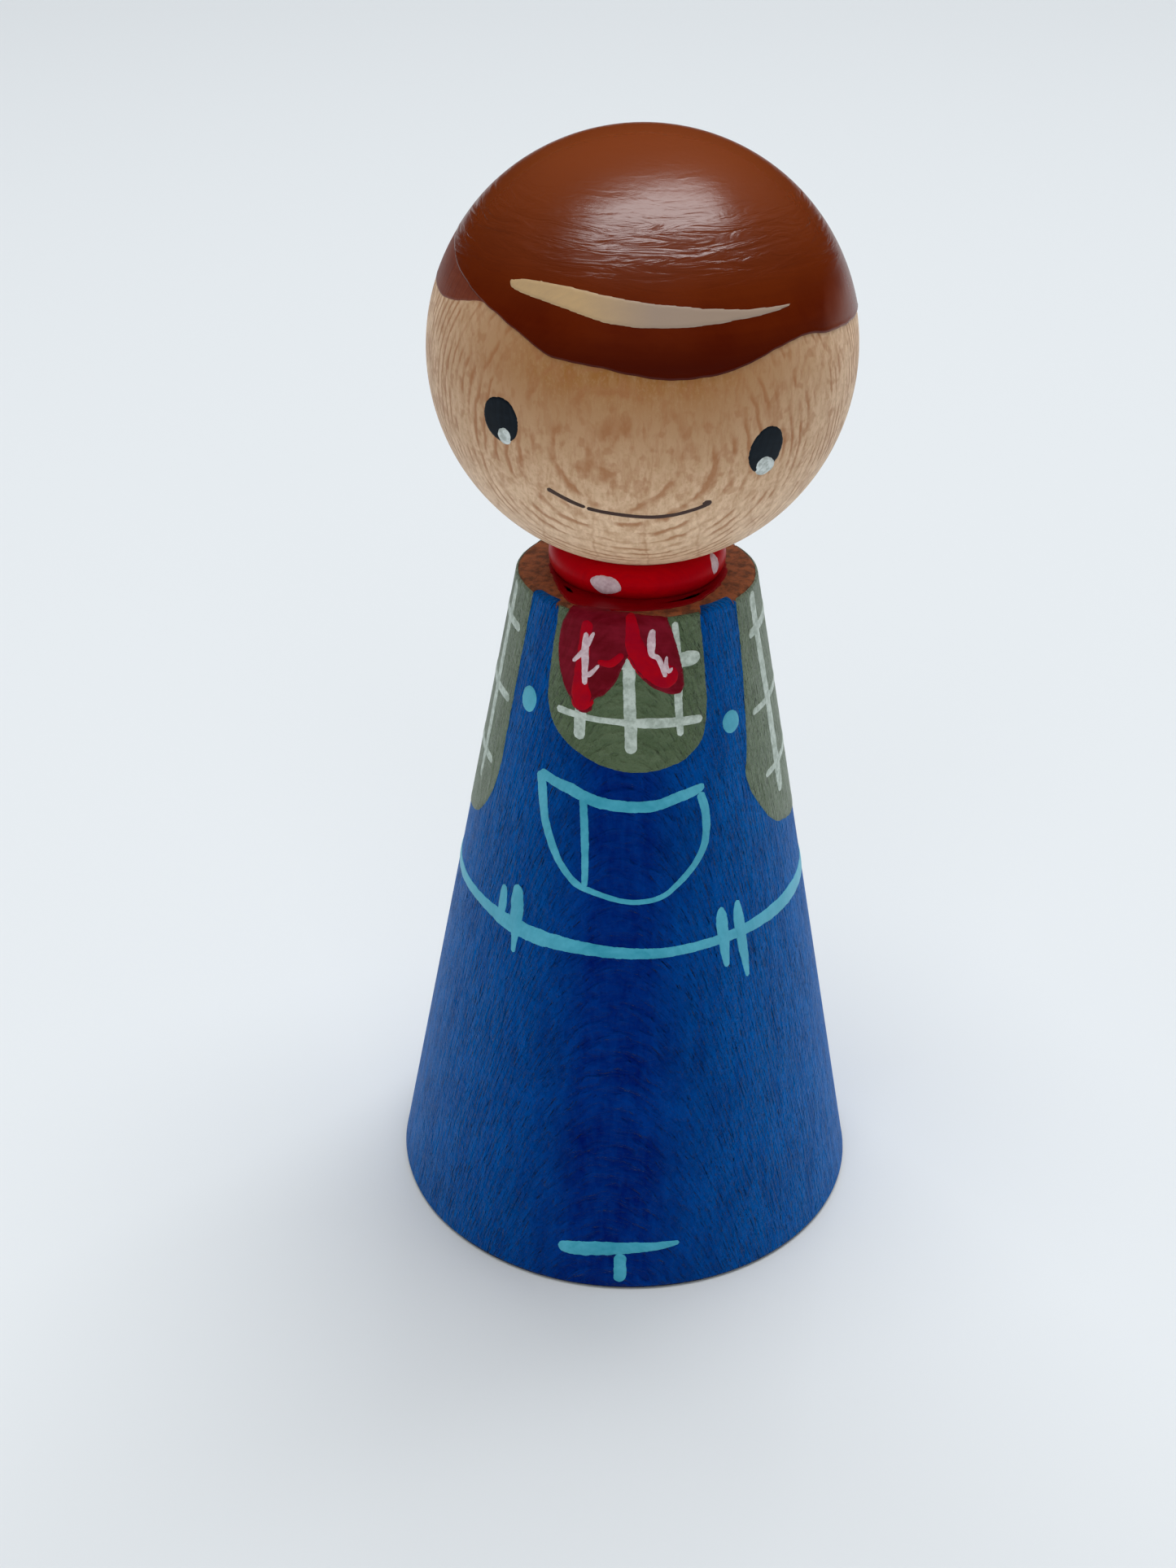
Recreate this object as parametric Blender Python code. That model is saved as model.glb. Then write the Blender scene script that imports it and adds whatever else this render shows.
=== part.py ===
"""Painted wooden peg doll: a turned cone body, a neck collar and a ball head, on one hidden dowel.

Metres, +Z up. The origin is the middle of the base, on the surface that the doll stands on.
The painted front of the doll faces -Y.
"""

import math

import bmesh
import bpy

# Driving dimensions.
TOTAL_HEIGHT = 0.0900
HEAD_RADIUS = 0.01585
BODY_HEIGHT = 0.0568
BASE_RADIUS = 0.0201
SHOULDER_RADIUS = 0.0093
COLLAR_RADIUS = 0.0069
DOWEL_DIAMETER = 0.0060
DOWEL_LENGTH = 0.0250

# Edges that the lathe and the sandpaper leave.
BASE_EDGE_ROUND = 0.0003
SHOULDER_EDGE_ROUND = 0.0005
MOUTH_CHAMFER = 0.0003

# The glued joints: the gap that glue fills between faces that meet, the dowel's looser fit in
# its holes, and the room past each end of the dowel.
GLUE_LINE = 0.0003
HOLE_CLEARANCE = 0.0001
END_ROOM = 0.0006
DRILL_POINT_DEPTH = 0.0012

# The collar's rounded outside: an arc whose middle stands this far above the shoulder.
COLLAR_ARC_RADIUS = 0.0016
COLLAR_ARC_HEIGHT = 0.0010

# The dowel's pressed flutes and its tapered ends.
FLUTE_COUNT = 14
FLUTE_DEPTH = 0.00022
DOWEL_TAPER_LENGTH = 0.0009
DOWEL_TAPER_SHARE = 0.86

# How finely round shapes are cut.
TURNED_STEPS = 64
SMALL_TURNED_STEPS = 48
HEAD_ARC_POINTS = 33
EDGE_ARC_POINTS = 5
SHARP_ANGLE = math.radians(35)

# Worked out from the above.
HEAD_CENTRE_Z = TOTAL_HEIGHT - HEAD_RADIUS
HOLE_RADIUS = DOWEL_DIAMETER / 2 + HOLE_CLEARANCE
NECK_MIDDLE_Z = (BODY_HEIGHT + HEAD_CENTRE_Z - HEAD_RADIUS) / 2
DOWEL_BOTTOM_Z = NECK_MIDDLE_Z - DOWEL_LENGTH / 2
DOWEL_TOP_Z = DOWEL_BOTTOM_Z + DOWEL_LENGTH

# Linear RGB, roughness.
BLUE_PAINT = ((0.004, 0.050, 0.200), 0.45)
RED_PAINT = ((0.260, 0.004, 0.006), 0.40)
NATURAL_BEECH = ((0.560, 0.360, 0.190), 0.50)
DOWEL_BEECH = ((0.610, 0.440, 0.270), 0.60)


def arc(centre_r, centre_z, radius, start_deg, end_deg, points):
    """Points (r, z) along an arc; 0 degrees points outwards and 90 degrees up."""
    angles = [start_deg + (end_deg - start_deg) * i / (points - 1) for i in range(points)]
    return [
        (centre_r + radius * math.cos(math.radians(a)), centre_z + radius * math.sin(math.radians(a)))
        for a in angles
    ]


def painted(name, finish):
    """A plain material from a colour and a roughness."""
    colour, roughness = finish
    material = bpy.data.materials.new(name)
    material.use_nodes = True
    shader = material.node_tree.nodes["Principled BSDF"]
    shader.inputs["Base Color"].default_value = (*colour, 1.0)
    shader.inputs["Roughness"].default_value = roughness
    shader.inputs["Metallic"].default_value = 0.0
    return material


def add_object(name, bm, material, z, parent):
    """An object from a bmesh, standing on the doll's axis with its own origin at height z."""
    bmesh.ops.recalc_face_normals(bm, faces=bm.faces)
    mesh = bpy.data.meshes.new(name)
    bm.to_mesh(mesh)
    bm.free()
    mesh.shade_smooth()
    mesh.set_sharp_from_angle(angle=SHARP_ANGLE)
    mesh.materials.append(material)
    obj = bpy.data.objects.new(name, mesh)
    bpy.context.scene.collection.objects.link(obj)
    obj.location = (0.0, 0.0, z)
    obj.parent = parent
    return obj


def turned(profile, steps, closed_loop=False):
    """A lathe-turned shape: the (r, z) profile spun once round the Z axis."""
    bm = bmesh.new()
    verts = [bm.verts.new((r, 0.0, z)) for r, z in profile]
    pairs = list(zip(verts, verts[1:]))
    if closed_loop:
        pairs.append((verts[-1], verts[0]))
    edges = [bm.edges.new(pair) for pair in pairs]
    bmesh.ops.spin(
        bm,
        geom=verts + edges,
        cent=(0.0, 0.0, 0.0),
        axis=(0.0, 0.0, 1.0),
        angle=math.tau,
        steps=steps,
        use_merge=True,
    )
    bmesh.ops.remove_doubles(bm, verts=bm.verts, dist=1e-7)
    return bm


def body_profile():
    """From the bottom of the dowel hole, over the shoulder and down the cone to the middle of the base."""
    hole_floor = DOWEL_BOTTOM_Z - END_ROOM
    slope = math.degrees(math.atan2(BASE_RADIUS - SHOULDER_RADIUS, BODY_HEIGHT))
    # An edge arc touches the flat face and the sloping side, so its centre sits off the corner.
    shoulder_inset = SHOULDER_EDGE_ROUND / math.tan(math.radians(45 + slope / 2))
    base_inset = BASE_EDGE_ROUND / math.tan(math.radians(45 - slope / 2))
    profile = [
        (0.0, hole_floor - DRILL_POINT_DEPTH),
        (HOLE_RADIUS, hole_floor),
        (HOLE_RADIUS, BODY_HEIGHT - MOUTH_CHAMFER),
        (HOLE_RADIUS + MOUTH_CHAMFER, BODY_HEIGHT),
    ]
    profile += arc(
        SHOULDER_RADIUS - shoulder_inset,
        BODY_HEIGHT - SHOULDER_EDGE_ROUND,
        SHOULDER_EDGE_ROUND,
        90,
        slope,
        EDGE_ARC_POINTS,
    )
    profile += arc(
        BASE_RADIUS - base_inset,
        BASE_EDGE_ROUND,
        BASE_EDGE_ROUND,
        slope,
        -90,
        EDGE_ARC_POINTS,
    )
    profile.append((0.0, 0.0))
    return profile


def head_profile():
    """From the crown down the ball to the dowel hole, and up it; z counts from the ball's centre."""
    mouth_radius = HOLE_RADIUS + MOUTH_CHAMFER
    mouth_angle = -math.degrees(math.acos(mouth_radius / HEAD_RADIUS))
    hole_end = DOWEL_TOP_Z + END_ROOM - HEAD_CENTRE_Z
    profile = arc(0.0, 0.0, HEAD_RADIUS, 90, mouth_angle, HEAD_ARC_POINTS)
    profile[0] = (0.0, HEAD_RADIUS)
    mouth_z = profile[-1][1]
    profile += [
        (HOLE_RADIUS, mouth_z + MOUTH_CHAMFER),
        (HOLE_RADIUS, hole_end),
        (0.0, hole_end + DRILL_POINT_DEPTH),
    ]
    return profile


def circles_meet(r_a, z_a, radius_a, r_b, z_b, radius_b):
    """The outer of the two points where two circles in the (r, z) plane cross."""
    gap = math.hypot(r_b - r_a, z_b - z_a)
    along = (radius_a**2 - radius_b**2 + gap**2) / (2 * gap)
    across = math.sqrt(radius_a**2 - along**2)
    unit_r, unit_z = (r_b - r_a) / gap, (z_b - z_a) / gap
    foot_r, foot_z = r_a + along * unit_r, z_a + along * unit_z
    found = [(foot_r + s * across * unit_z, foot_z - s * across * unit_r) for s in (-1, 1)]
    return max(found)


def collar_profile():
    """The collar's cut, as a closed loop: bore, dished seat for the ball, rounded outside.

    Here z counts from the shoulder.
    """
    ball_z = HEAD_CENTRE_Z - BODY_HEIGHT
    seat_radius = HEAD_RADIUS + GLUE_LINE
    arc_r = COLLAR_RADIUS - COLLAR_ARC_RADIUS
    rim_r, rim_z = circles_meet(0.0, ball_z, seat_radius, arc_r, COLLAR_ARC_HEIGHT, COLLAR_ARC_RADIUS)
    bore_angle = -math.degrees(math.acos(HOLE_RADIUS / seat_radius))
    rim_angle = -math.degrees(math.acos(rim_r / seat_radius))
    outside_start = math.degrees(math.atan2(rim_z - COLLAR_ARC_HEIGHT, rim_r - arc_r))
    outside_end = math.degrees(math.asin((GLUE_LINE - COLLAR_ARC_HEIGHT) / COLLAR_ARC_RADIUS))
    profile = [(HOLE_RADIUS, GLUE_LINE)]
    profile += arc(0.0, ball_z, seat_radius, bore_angle, rim_angle, EDGE_ARC_POINTS)
    profile += arc(arc_r, COLLAR_ARC_HEIGHT, COLLAR_ARC_RADIUS, outside_start, outside_end, 9)[1:]
    return profile


def fluted_dowel():
    """A dowel pin with pressed flutes and tapered ends, its lower end at z = 0."""
    radius = DOWEL_DIAMETER / 2
    levels = [
        (0.0, DOWEL_TAPER_SHARE),
        (DOWEL_TAPER_LENGTH, 1.0),
        (DOWEL_LENGTH - DOWEL_TAPER_LENGTH, 1.0),
        (DOWEL_LENGTH, DOWEL_TAPER_SHARE),
    ]
    bm = bmesh.new()
    rings = []
    for z, share in levels:
        ring = []
        for i in range(FLUTE_COUNT * 3):
            angle = math.tau * i / (FLUTE_COUNT * 3)
            r = (radius - (FLUTE_DEPTH if i % 3 == 0 else 0.0)) * share
            ring.append(bm.verts.new((r * math.cos(angle), r * math.sin(angle), z)))
        rings.append(ring)
    for low, high in zip(rings, rings[1:]):
        for i in range(len(low)):
            j = (i + 1) % len(low)
            bm.faces.new((low[i], low[j], high[j], high[i]))
    bm.faces.new(rings[0])
    bm.faces.new(rings[-1])
    return bm


def main():
    for obj in list(bpy.data.objects):
        bpy.data.objects.remove(obj)

    doll = bpy.data.objects.new("peg_doll", None)
    bpy.context.scene.collection.objects.link(doll)
    beech = painted("natural_beech", NATURAL_BEECH)

    body = turned(body_profile(), TURNED_STEPS)
    add_object("body_cone", body, painted("blue_paint", BLUE_PAINT), 0.0, doll)

    collar = turned(collar_profile(), SMALL_TURNED_STEPS, closed_loop=True)
    add_object("neck_collar", collar, painted("red_paint", RED_PAINT), BODY_HEIGHT, doll)

    head = turned(head_profile(), TURNED_STEPS)
    add_object("head_ball", head, beech, HEAD_CENTRE_Z, doll)

    dowel = painted("dowel_beech", DOWEL_BEECH)
    add_object("neck_dowel", fluted_dowel(), dowel, DOWEL_BOTTOM_Z, doll)


main()
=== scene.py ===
"""Looks of the painted wooden peg doll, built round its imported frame.

Inside this script lengths are millimetres; they become metres when a mesh is made. The doll faces -Y.
Places on it are (u, v): u is the angle round the doll in degrees, 0 at the front and positive towards
+X. On the body v is the height in millimetres, and on the head it is the latitude in degrees.
"""

import math

import bpy
import numpy as np
from mathutils import Matrix, Vector, geometry, noise


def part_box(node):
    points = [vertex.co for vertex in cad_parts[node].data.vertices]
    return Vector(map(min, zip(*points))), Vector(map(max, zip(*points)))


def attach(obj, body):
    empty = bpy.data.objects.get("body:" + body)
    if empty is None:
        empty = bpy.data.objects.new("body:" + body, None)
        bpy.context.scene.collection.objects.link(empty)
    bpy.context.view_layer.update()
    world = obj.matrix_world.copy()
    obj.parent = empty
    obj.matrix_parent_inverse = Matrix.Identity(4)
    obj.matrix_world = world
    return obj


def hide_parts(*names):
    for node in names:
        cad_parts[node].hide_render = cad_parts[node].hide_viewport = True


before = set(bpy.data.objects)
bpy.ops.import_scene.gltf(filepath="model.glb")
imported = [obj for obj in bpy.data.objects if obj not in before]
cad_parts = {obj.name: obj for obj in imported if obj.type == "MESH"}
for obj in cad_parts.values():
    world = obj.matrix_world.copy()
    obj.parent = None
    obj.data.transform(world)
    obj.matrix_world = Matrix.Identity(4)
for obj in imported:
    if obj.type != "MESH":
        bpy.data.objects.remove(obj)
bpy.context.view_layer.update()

MM = 0.001
BODY = "root"

# The turned shape, read from the frame where a box can tell it.
BODY_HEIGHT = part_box("body_cone")[1].z / MM
HEAD_RADIUS = (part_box("head_ball")[1].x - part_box("head_ball")[0].x) / 2 / MM
HEAD_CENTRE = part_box("head_ball")[1].z / MM - HEAD_RADIUS
COLLAR_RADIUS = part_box("neck_collar")[1].x / MM
BASE_CORNER = 20.1
SHOULDER_CORNER = 9.3
SHOULDER_ROUND = 0.5
BASE_ROUND = 0.3
SLOPE = math.atan2(BASE_CORNER - SHOULDER_CORNER, BODY_HEIGHT)
HOLE_RADIUS = 3.1

# Coats of paint, in millimetres: how far below its ground a coat starts, and how thick each one is.
SINK = 0.02
BLUE_COAT = 0.05
SHIRT_COAT = 0.05
CHECK_COAT = 0.035
TEAL_COAT = 0.06
SCARF_COAT = 0.09
HAIR_UNDERCOAT = 0.03
HAIR_COAT = 0.08
PARTING_COAT = 0.05
FACE_COAT = 0.035
INK_COAT = 0.02
DAB_COAT = 0.05

# A coat's edge is rounded over this many millimetres.
ROUND_OVER = 0.16

RIGHT = (1.0, 0.0, 0.0)
FRONT = (0.0, -1.0, 0.0)
BACK = (0.0, 1.0, 0.0)
UP = (0.0, 0.0, 1.0)


# ---------------- surfaces


class BodySurface:
    """Outside of the body. Past the cone, v runs on over the rounded shoulder and inwards along the top."""

    v_mm = 1.0

    def __init__(self):
        inset = SHOULDER_ROUND / math.tan(math.radians(45) + SLOPE / 2)
        self.centre_r = SHOULDER_CORNER - inset
        self.centre_z = BODY_HEIGHT - SHOULDER_ROUND
        self.arc_v = self.centre_z + SHOULDER_ROUND * math.sin(SLOPE)
        self.flat_v = self.arc_v + SHOULDER_ROUND * (math.pi / 2 - SLOPE)

    def section(self, v):
        """(r, z) of the profile and the (r, z) parts of its outward normal."""
        v = np.asarray(v, float)
        angle = np.clip(SLOPE + (v - self.arc_v) / SHOULDER_ROUND, SLOPE, math.pi / 2)
        cone_r = BASE_CORNER - (BASE_CORNER - SHOULDER_CORNER) * v / BODY_HEIGHT
        arc_r = self.centre_r + SHOULDER_ROUND * np.cos(angle)
        arc_z = self.centre_z + SHOULDER_ROUND * np.sin(angle)
        r = np.where(v < self.arc_v, cone_r, arc_r - np.maximum(v - self.flat_v, 0.0))
        z = np.where(v < self.arc_v, v, arc_z)
        return r, z, np.cos(angle), np.sin(angle)


class BallSurface:
    """Outside of the head, a ball with a slightly flattened crown; v is the latitude in degrees."""

    flattening = 0.012

    v_mm = HEAD_RADIUS * math.pi / 180

    def section(self, v):
        lat = np.radians(np.asarray(v, float))
        c, s = np.cos(lat), np.sin(lat)
        height = HEAD_RADIUS * s * (1 - self.flattening * np.maximum(s, 0.0) ** 2)
        return HEAD_RADIUS * c, HEAD_CENTRE + height, c, s


class CollarSurface:
    """Outside of the neck collar; v is the angle round its own rounded section in degrees."""

    section_radius = 1.6
    v_mm = section_radius * math.pi / 180
    height = 1.25

    def section(self, v):
        a = np.radians(np.asarray(v, float))
        c, s = np.cos(a), np.sin(a)
        centre_r = COLLAR_RADIUS - self.section_radius
        r = centre_r + self.section_radius * c
        return r, BODY_HEIGHT + self.height + self.section_radius * s, c, s


body_surface = BodySurface()
ball_surface = BallSurface()
collar_surface = CollarSurface()


def on_surface(surface, u, v, lift):
    """Points lying lift above the surface at (u, v)."""
    r, z, nr, nz = surface.section(v)
    a = np.radians(np.asarray(u, float))
    rr = r + nr * lift
    return np.stack(np.broadcast_arrays(rr * np.sin(a), -rr * np.cos(a), z + nz * lift), -1)


def to_flat(surface, points):
    """(u, v) to millimetres on a flattened surface."""
    points = np.asarray(points, float)
    r = surface.section(points[:, 1])[0]
    return np.stack([np.radians(points[:, 0]) * r, points[:, 1] * surface.v_mm], 1)


def from_flat(surface, points):
    """Millimetres on a flattened surface back to (u, v)."""
    v = points[:, 1] / surface.v_mm
    return np.degrees(points[:, 0] / surface.section(v)[0]), v


def wobble(x, y=0.0, z=0.0):
    """Smooth noise from -1 to 1 that varies over about one unit."""
    return noise.noise(Vector((x, y, z)))


# ---------------- meshes


def signed_volume(points, faces):
    """Six times the volume that the faces close, negative when they face inwards."""
    corners = np.array([(face[0], b, c) for face in faces for b, c in zip(face[1:-1], face[2:])])
    a, b, c = (points[corners[:, k]] for k in range(3))
    return float((a * np.cross(b, c)).sum())


def add_piece(name, verts, faces, material):
    """A closed piece of the doll from points in millimetres, faced outwards, without unused points."""
    verts = np.array([np.asarray(p, float) for p in verts])
    used = sorted({i for face in faces for i in face})
    places = {old: new for new, old in enumerate(used)}
    verts = verts[used]
    faces = [tuple(places[i] for i in face) for face in faces]
    if signed_volume(verts, faces) < 0:
        faces = [face[::-1] for face in faces]
    mesh = bpy.data.meshes.new(name)
    mesh.from_pydata([tuple(p) for p in verts * MM], [], faces)
    mesh.shade_smooth()
    mesh.set_sharp_from_angle(angle=math.radians(40))
    mesh.materials.append(material)
    piece = bpy.data.objects.new(name, mesh)
    bpy.context.scene.collection.objects.link(piece)
    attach(piece, BODY)
    return piece


def rings_of(profile, steps):
    """A ring of points round the axis for each (r, z)."""
    angles = [math.tau * i / steps for i in range(steps)]
    return [(r * math.sin(a), -r * math.cos(a), z) for r, z in profile for a in angles]


def turned(profile, steps):
    """Points and faces of a profile of (r, z) points turned round the axis; its ends lie on the axis."""
    rings = profile[1:-1]
    verts = [(0.0, 0.0, profile[0][1]), (0.0, 0.0, profile[-1][1])] + rings_of(rings, steps)
    faces = []
    for i in range(steps):
        j = (i + 1) % steps
        faces.append((0, 2 + j, 2 + i))
        for k in range(len(rings) - 1):
            a, b = 2 + k * steps, 2 + (k + 1) * steps
            faces.append((a + i, a + j, b + j, b + i))
        last = 2 + (len(rings) - 1) * steps
        faces.append((1, last + i, last + j))
    return verts, faces


def arc(centre_r, centre_z, radius, start, end, points):
    """(r, z) points of an arc; 0 degrees points outwards and 90 degrees up."""
    angles = np.radians(np.linspace(start, end, points))
    return [(centre_r + radius * math.cos(a), centre_z + radius * math.sin(a)) for a in angles]


def through(points, step, closed=False):
    """A smooth curve through points of any dimension, as points about step apart in the first two."""
    pts = np.asarray(points, float)
    n = len(pts)
    out = []
    for i in range(n if closed else n - 1):
        if closed:
            p0, p1, p2, p3 = (pts[(i + k) % n] for k in (-1, 0, 1, 2))
        else:
            p1, p2 = pts[i], pts[i + 1]
            p0 = pts[i - 1] if i else 2 * p1 - p2
            p3 = pts[i + 2] if i + 2 < n else 2 * p2 - p1
        count = max(2, int(math.ceil(np.linalg.norm((p2 - p1)[:2]) / step)))
        for k in range(count):
            t = k / count
            bend = 2 * p0 - 5 * p1 + 4 * p2 - p3
            twist = 3 * p1 - p0 - 3 * p2 + p3
            out.append(0.5 * (2 * p1 + (p2 - p0) * t + bend * t**2 + twist * t**3))
    if not closed:
        out.append(pts[-1])
    return np.array(out)


def stroke(name, surface, path, material, lift, thick, seed, ragged):
    """One brush stroke through (u, v, width) stations, as a closed film with a rounded section."""
    path = np.asarray(path, float)
    line = through(np.column_stack([to_flat(surface, path[:, :2]), path[:, 2]]), 0.12)
    gaps = np.linalg.norm(np.diff(line[:, :2], axis=0), axis=1)
    run = np.concatenate([[0.0], np.cumsum(gaps)])
    ahead = np.gradient(line[:, :2], axis=0)
    ahead /= np.linalg.norm(ahead, axis=1)[:, None]
    side = np.stack([-ahead[:, 1], ahead[:, 0]], 1)
    half = line[:, 2] / 2
    start = np.clip(run / half[0], 0, 1)
    end = np.clip((run[-1] - run) / half[-1], 0, 1)
    for share in (start, end):
        half = half * np.sqrt(np.maximum(1 - (1 - share) ** 2, 0.004))
    across = -np.cos(np.linspace(0, math.pi, 11))
    verts, faces = [], []
    for i, (centre, s) in enumerate(zip(line[:, :2], side)):
        edges = [
            1 + ragged * (wobble(run[i] * 1.6, seed, k * 7.3) + 0.6 * wobble(run[i] * 4.5, seed, k))
            for k in (1, 2)
        ]
        for x in across:
            w = half[i] * (edges[0] if x < 0 else edges[1])
            at = centre + s * x * w
            u, v = from_flat(surface, at[None, :])
            ridge = 1 + 0.22 * wobble(x * 3.2 + seed, run[i] * 0.35, seed)
            dome = (1 - abs(x) ** 3) ** 0.5 * ridge
            h = lift - SINK if abs(x) > 0.999 else lift + thick * dome * min(1.0, half[i] / 0.12)
            verts.append(on_surface(surface, u, v, h)[0])
    m = len(across)
    for i in range(len(line) - 1):
        a, b = i * m, (i + 1) * m
        faces += [(a + j, a + j + 1, b + j + 1, b + j) for j in range(m - 1)]
        faces.append((a + m - 1, a, b, b + m - 1))
    faces.append(tuple(range(m - 1, -1, -1)))
    faces.append(tuple((len(line) - 1) * m + j for j in range(m)))
    return add_piece(name, verts, faces, material)


def outline_of(surface, runs, seed, ragged):
    """A closed outline in flat millimetres from smooth runs of (u, v) points that meet at corners."""
    pieces = [through(to_flat(surface, run), 0.14)[:-1] for run in runs]
    line = np.concatenate(pieces)
    ahead = np.roll(line, -1, 0) - np.roll(line, 1, 0)
    ahead /= np.linalg.norm(ahead, axis=1)[:, None]
    side = np.stack([ahead[:, 1], -ahead[:, 0]], 1)
    run = np.cumsum(np.linalg.norm(line - np.roll(line, 1, 0), axis=1))
    amount = [wobble(s * 0.9, seed) + 0.5 * wobble(s * 2.7, seed, 4.0) for s in run]
    return line + side * (ragged * np.array(amount))[:, None]


def edge_distance(points, line):
    """Distance from each point to the closed outline, negative outside it."""
    a, b = line, np.roll(line, -1, 0)
    best = np.full(len(points), 1e9)
    inside = np.zeros(len(points), bool)
    for p, q in zip(a, b):
        d = q - p
        t = np.clip(((points - p) @ d) / max(d @ d, 1e-12), 0, 1)
        best = np.minimum(best, np.linalg.norm(points - p - t[:, None] * d, axis=1))
        crosses = (p[1] > points[:, 1]) != (q[1] > points[:, 1])
        if p[1] != q[1]:
            at = p[0] + (points[:, 1] - p[1]) * d[0] / d[1]
            inside ^= crosses & (points[:, 0] < at)
    return np.where(inside, best, -best)


def hex_grid(low, high, step):
    """Points step apart in staggered rows over a box."""
    rows = int((high[1] - low[1]) / (step * 0.866)) + 2
    cols = int((high[0] - low[0]) / step) + 2
    x, y = np.meshgrid(np.arange(cols) * step, np.arange(rows) * step * 0.866)
    x[1::2] += step / 2
    return np.stack([x.ravel() + low[0], y.ravel() + low[1]], 1)


def edge_height(d, thick):
    """Height of a coat at distance d from its edge: a rounded edge with a slight bead inside it."""
    t = np.clip(d / ROUND_OVER, 0, 1)
    bead = np.exp(-(((d - ROUND_OVER) / (0.7 * ROUND_OVER)) ** 2))
    return thick * (np.sqrt(1 - (1 - t) ** 2) + 0.22 * bead)


def patch(name, surface, runs, material, lift, thick, seed=0.0, ragged=0.07, coarse=0.55):
    """A filled coat of paint inside an outline of smooth runs, as a closed film."""
    fine = 0.15
    rim_gap, near_reach = 0.06, 0.42
    line = outline_of(surface, runs, seed, ragged)
    low, high = line.min(0), line.max(0)
    near = hex_grid(low, high, fine)
    near_d = edge_distance(near, line)
    far = hex_grid(low, high, coarse)
    far_d = edge_distance(far, line)
    near_keep = (near_d > rim_gap) & (near_d < near_reach)
    far_keep = far_d >= near_reach
    inner = np.concatenate([near[near_keep], far[far_keep]])
    inner_d = np.concatenate([near_d[near_keep], far_d[far_keep]])
    n = len(line)
    points = [Vector(p) for p in np.concatenate([line, inner])]
    made = geometry.delaunay_2d_cdt(points, [], [list(range(n))], 1, 1e-6)
    flat = np.array([tuple(p) for p in made[0]])
    source = made[3]
    dist = np.array([0.0 if min(ids) < n else inner_d[min(ids) - n] for ids in source])
    rim = [min(ids) < n for ids in source]
    u, v = from_flat(surface, flat)
    ridges = np.array([1 + 0.1 * wobble(x * 0.5, y * 2.5, seed) for x, y in flat])
    h = np.where(rim, -SINK, edge_height(dist, thick) * ridges)
    top = on_surface(surface, u, v, lift + h)
    under = on_surface(surface, u, v, lift - SINK)
    inner_ids = [i for i, r in enumerate(rim) if not r]
    below = {i: len(top) + k for k, i in enumerate(inner_ids)}
    verts = np.concatenate([top, under[inner_ids]])
    faces = []
    for f in made[2]:
        if not all(rim[i] for i in f):
            faces.append(tuple(f))
            faces.append(tuple(below.get(i, i) for i in reversed(f)))
    return add_piece(name, verts, faces, material)


def band(name, surface, low, high, material, lift, thick, steps=288, rows=34, to_pole=False):
    """A coat right round the doll between the edges low(u) and high(u); to_pole closes it over the top.

    thick is a thickness, or a function of u and the distance from the edge for a coat that thins out.
    """
    near = [0.0, 0.02, 0.05, 0.09, 0.13, 0.17, 0.23, 0.32, 0.42, 0.54, 0.67, 0.82, 1.0]
    verts, faces = [], []
    us = [360.0 * i / steps - 180 for i in range(steps)]
    lows = np.array([low(u) for u in us])
    highs = np.array([90.0 if to_pole else high(u) for u in us])
    spans = (highs - lows) * surface.v_mm
    shares = np.linspace(0, 1, rows)[1:-1]
    tops, unders = [], []
    for layer in (0, 1):
        grid = []
        for k, u in enumerate(us):
            middle = near[-1] + (spans[k] - near[-1] * (1 if to_pole else 2)) * shares
            far = [] if to_pole else [spans[k] - d for d in reversed(near)]
            at = np.concatenate([near, middle, far])
            d = at if to_pole else np.minimum(at, spans[k] - at)
            if layer == 0:
                full = thick(u, d) if callable(thick) else thick
                h = np.where(d <= 1e-9, -SINK, edge_height(d, full))
            else:
                h = np.full(len(d), -SINK)
            grid.append(on_surface(surface, np.full(len(at), u), lows[k] + at / surface.v_mm, lift + h))
        (tops if layer == 0 else unders).extend(grid)
    tops, unders = np.array(tops), np.array(unders)
    m = tops.shape[1]
    last = m if to_pole else m - 1
    verts = list(tops.reshape(-1, 3))
    under_index = {}
    for k in range(steps):
        for r in range(1, last):
            under_index[(k, r)] = len(verts)
            verts.append(unders[k, r])

    def top_at(k, r):
        return (k % steps) * m + r

    def under_at(k, r):
        return under_index.get((k % steps, r), top_at(k, r))

    for k in range(steps):
        for r in range(m - 1):
            faces.append((top_at(k, r), top_at(k + 1, r), top_at(k + 1, r + 1), top_at(k, r + 1)))
            faces.append((under_at(k, r + 1), under_at(k + 1, r + 1), under_at(k + 1, r), under_at(k, r)))
    if to_pole:
        pole_lift = lift + (thick(0.0, spans[0]) if callable(thick) else thick)
        for lift_at, at, flip in ((pole_lift, top_at, False), (lift - SINK, under_at, True)):
            pole = len(verts)
            verts.append(on_surface(surface, 0.0, 90.0, lift_at))
            for k in range(steps):
                tri = (at(k, m - 1), at(k + 1, m - 1), pole)
                faces.append(tri[::-1] if flip else tri)
    return add_piece(name, verts, faces, material)


def round_line(points):
    """A smooth value of u through (u, v) points that go once round the doll."""
    pts = sorted(points)
    before = [(u - 360, v) for u, v in pts[-3:]]
    after = [(u + 360, v) for u, v in pts[:3]]
    line = through(before + pts + after, 1.0)
    return lambda u: float(np.interp(u, line[:, 0], line[:, 1]))


# ---------------- materials


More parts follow.
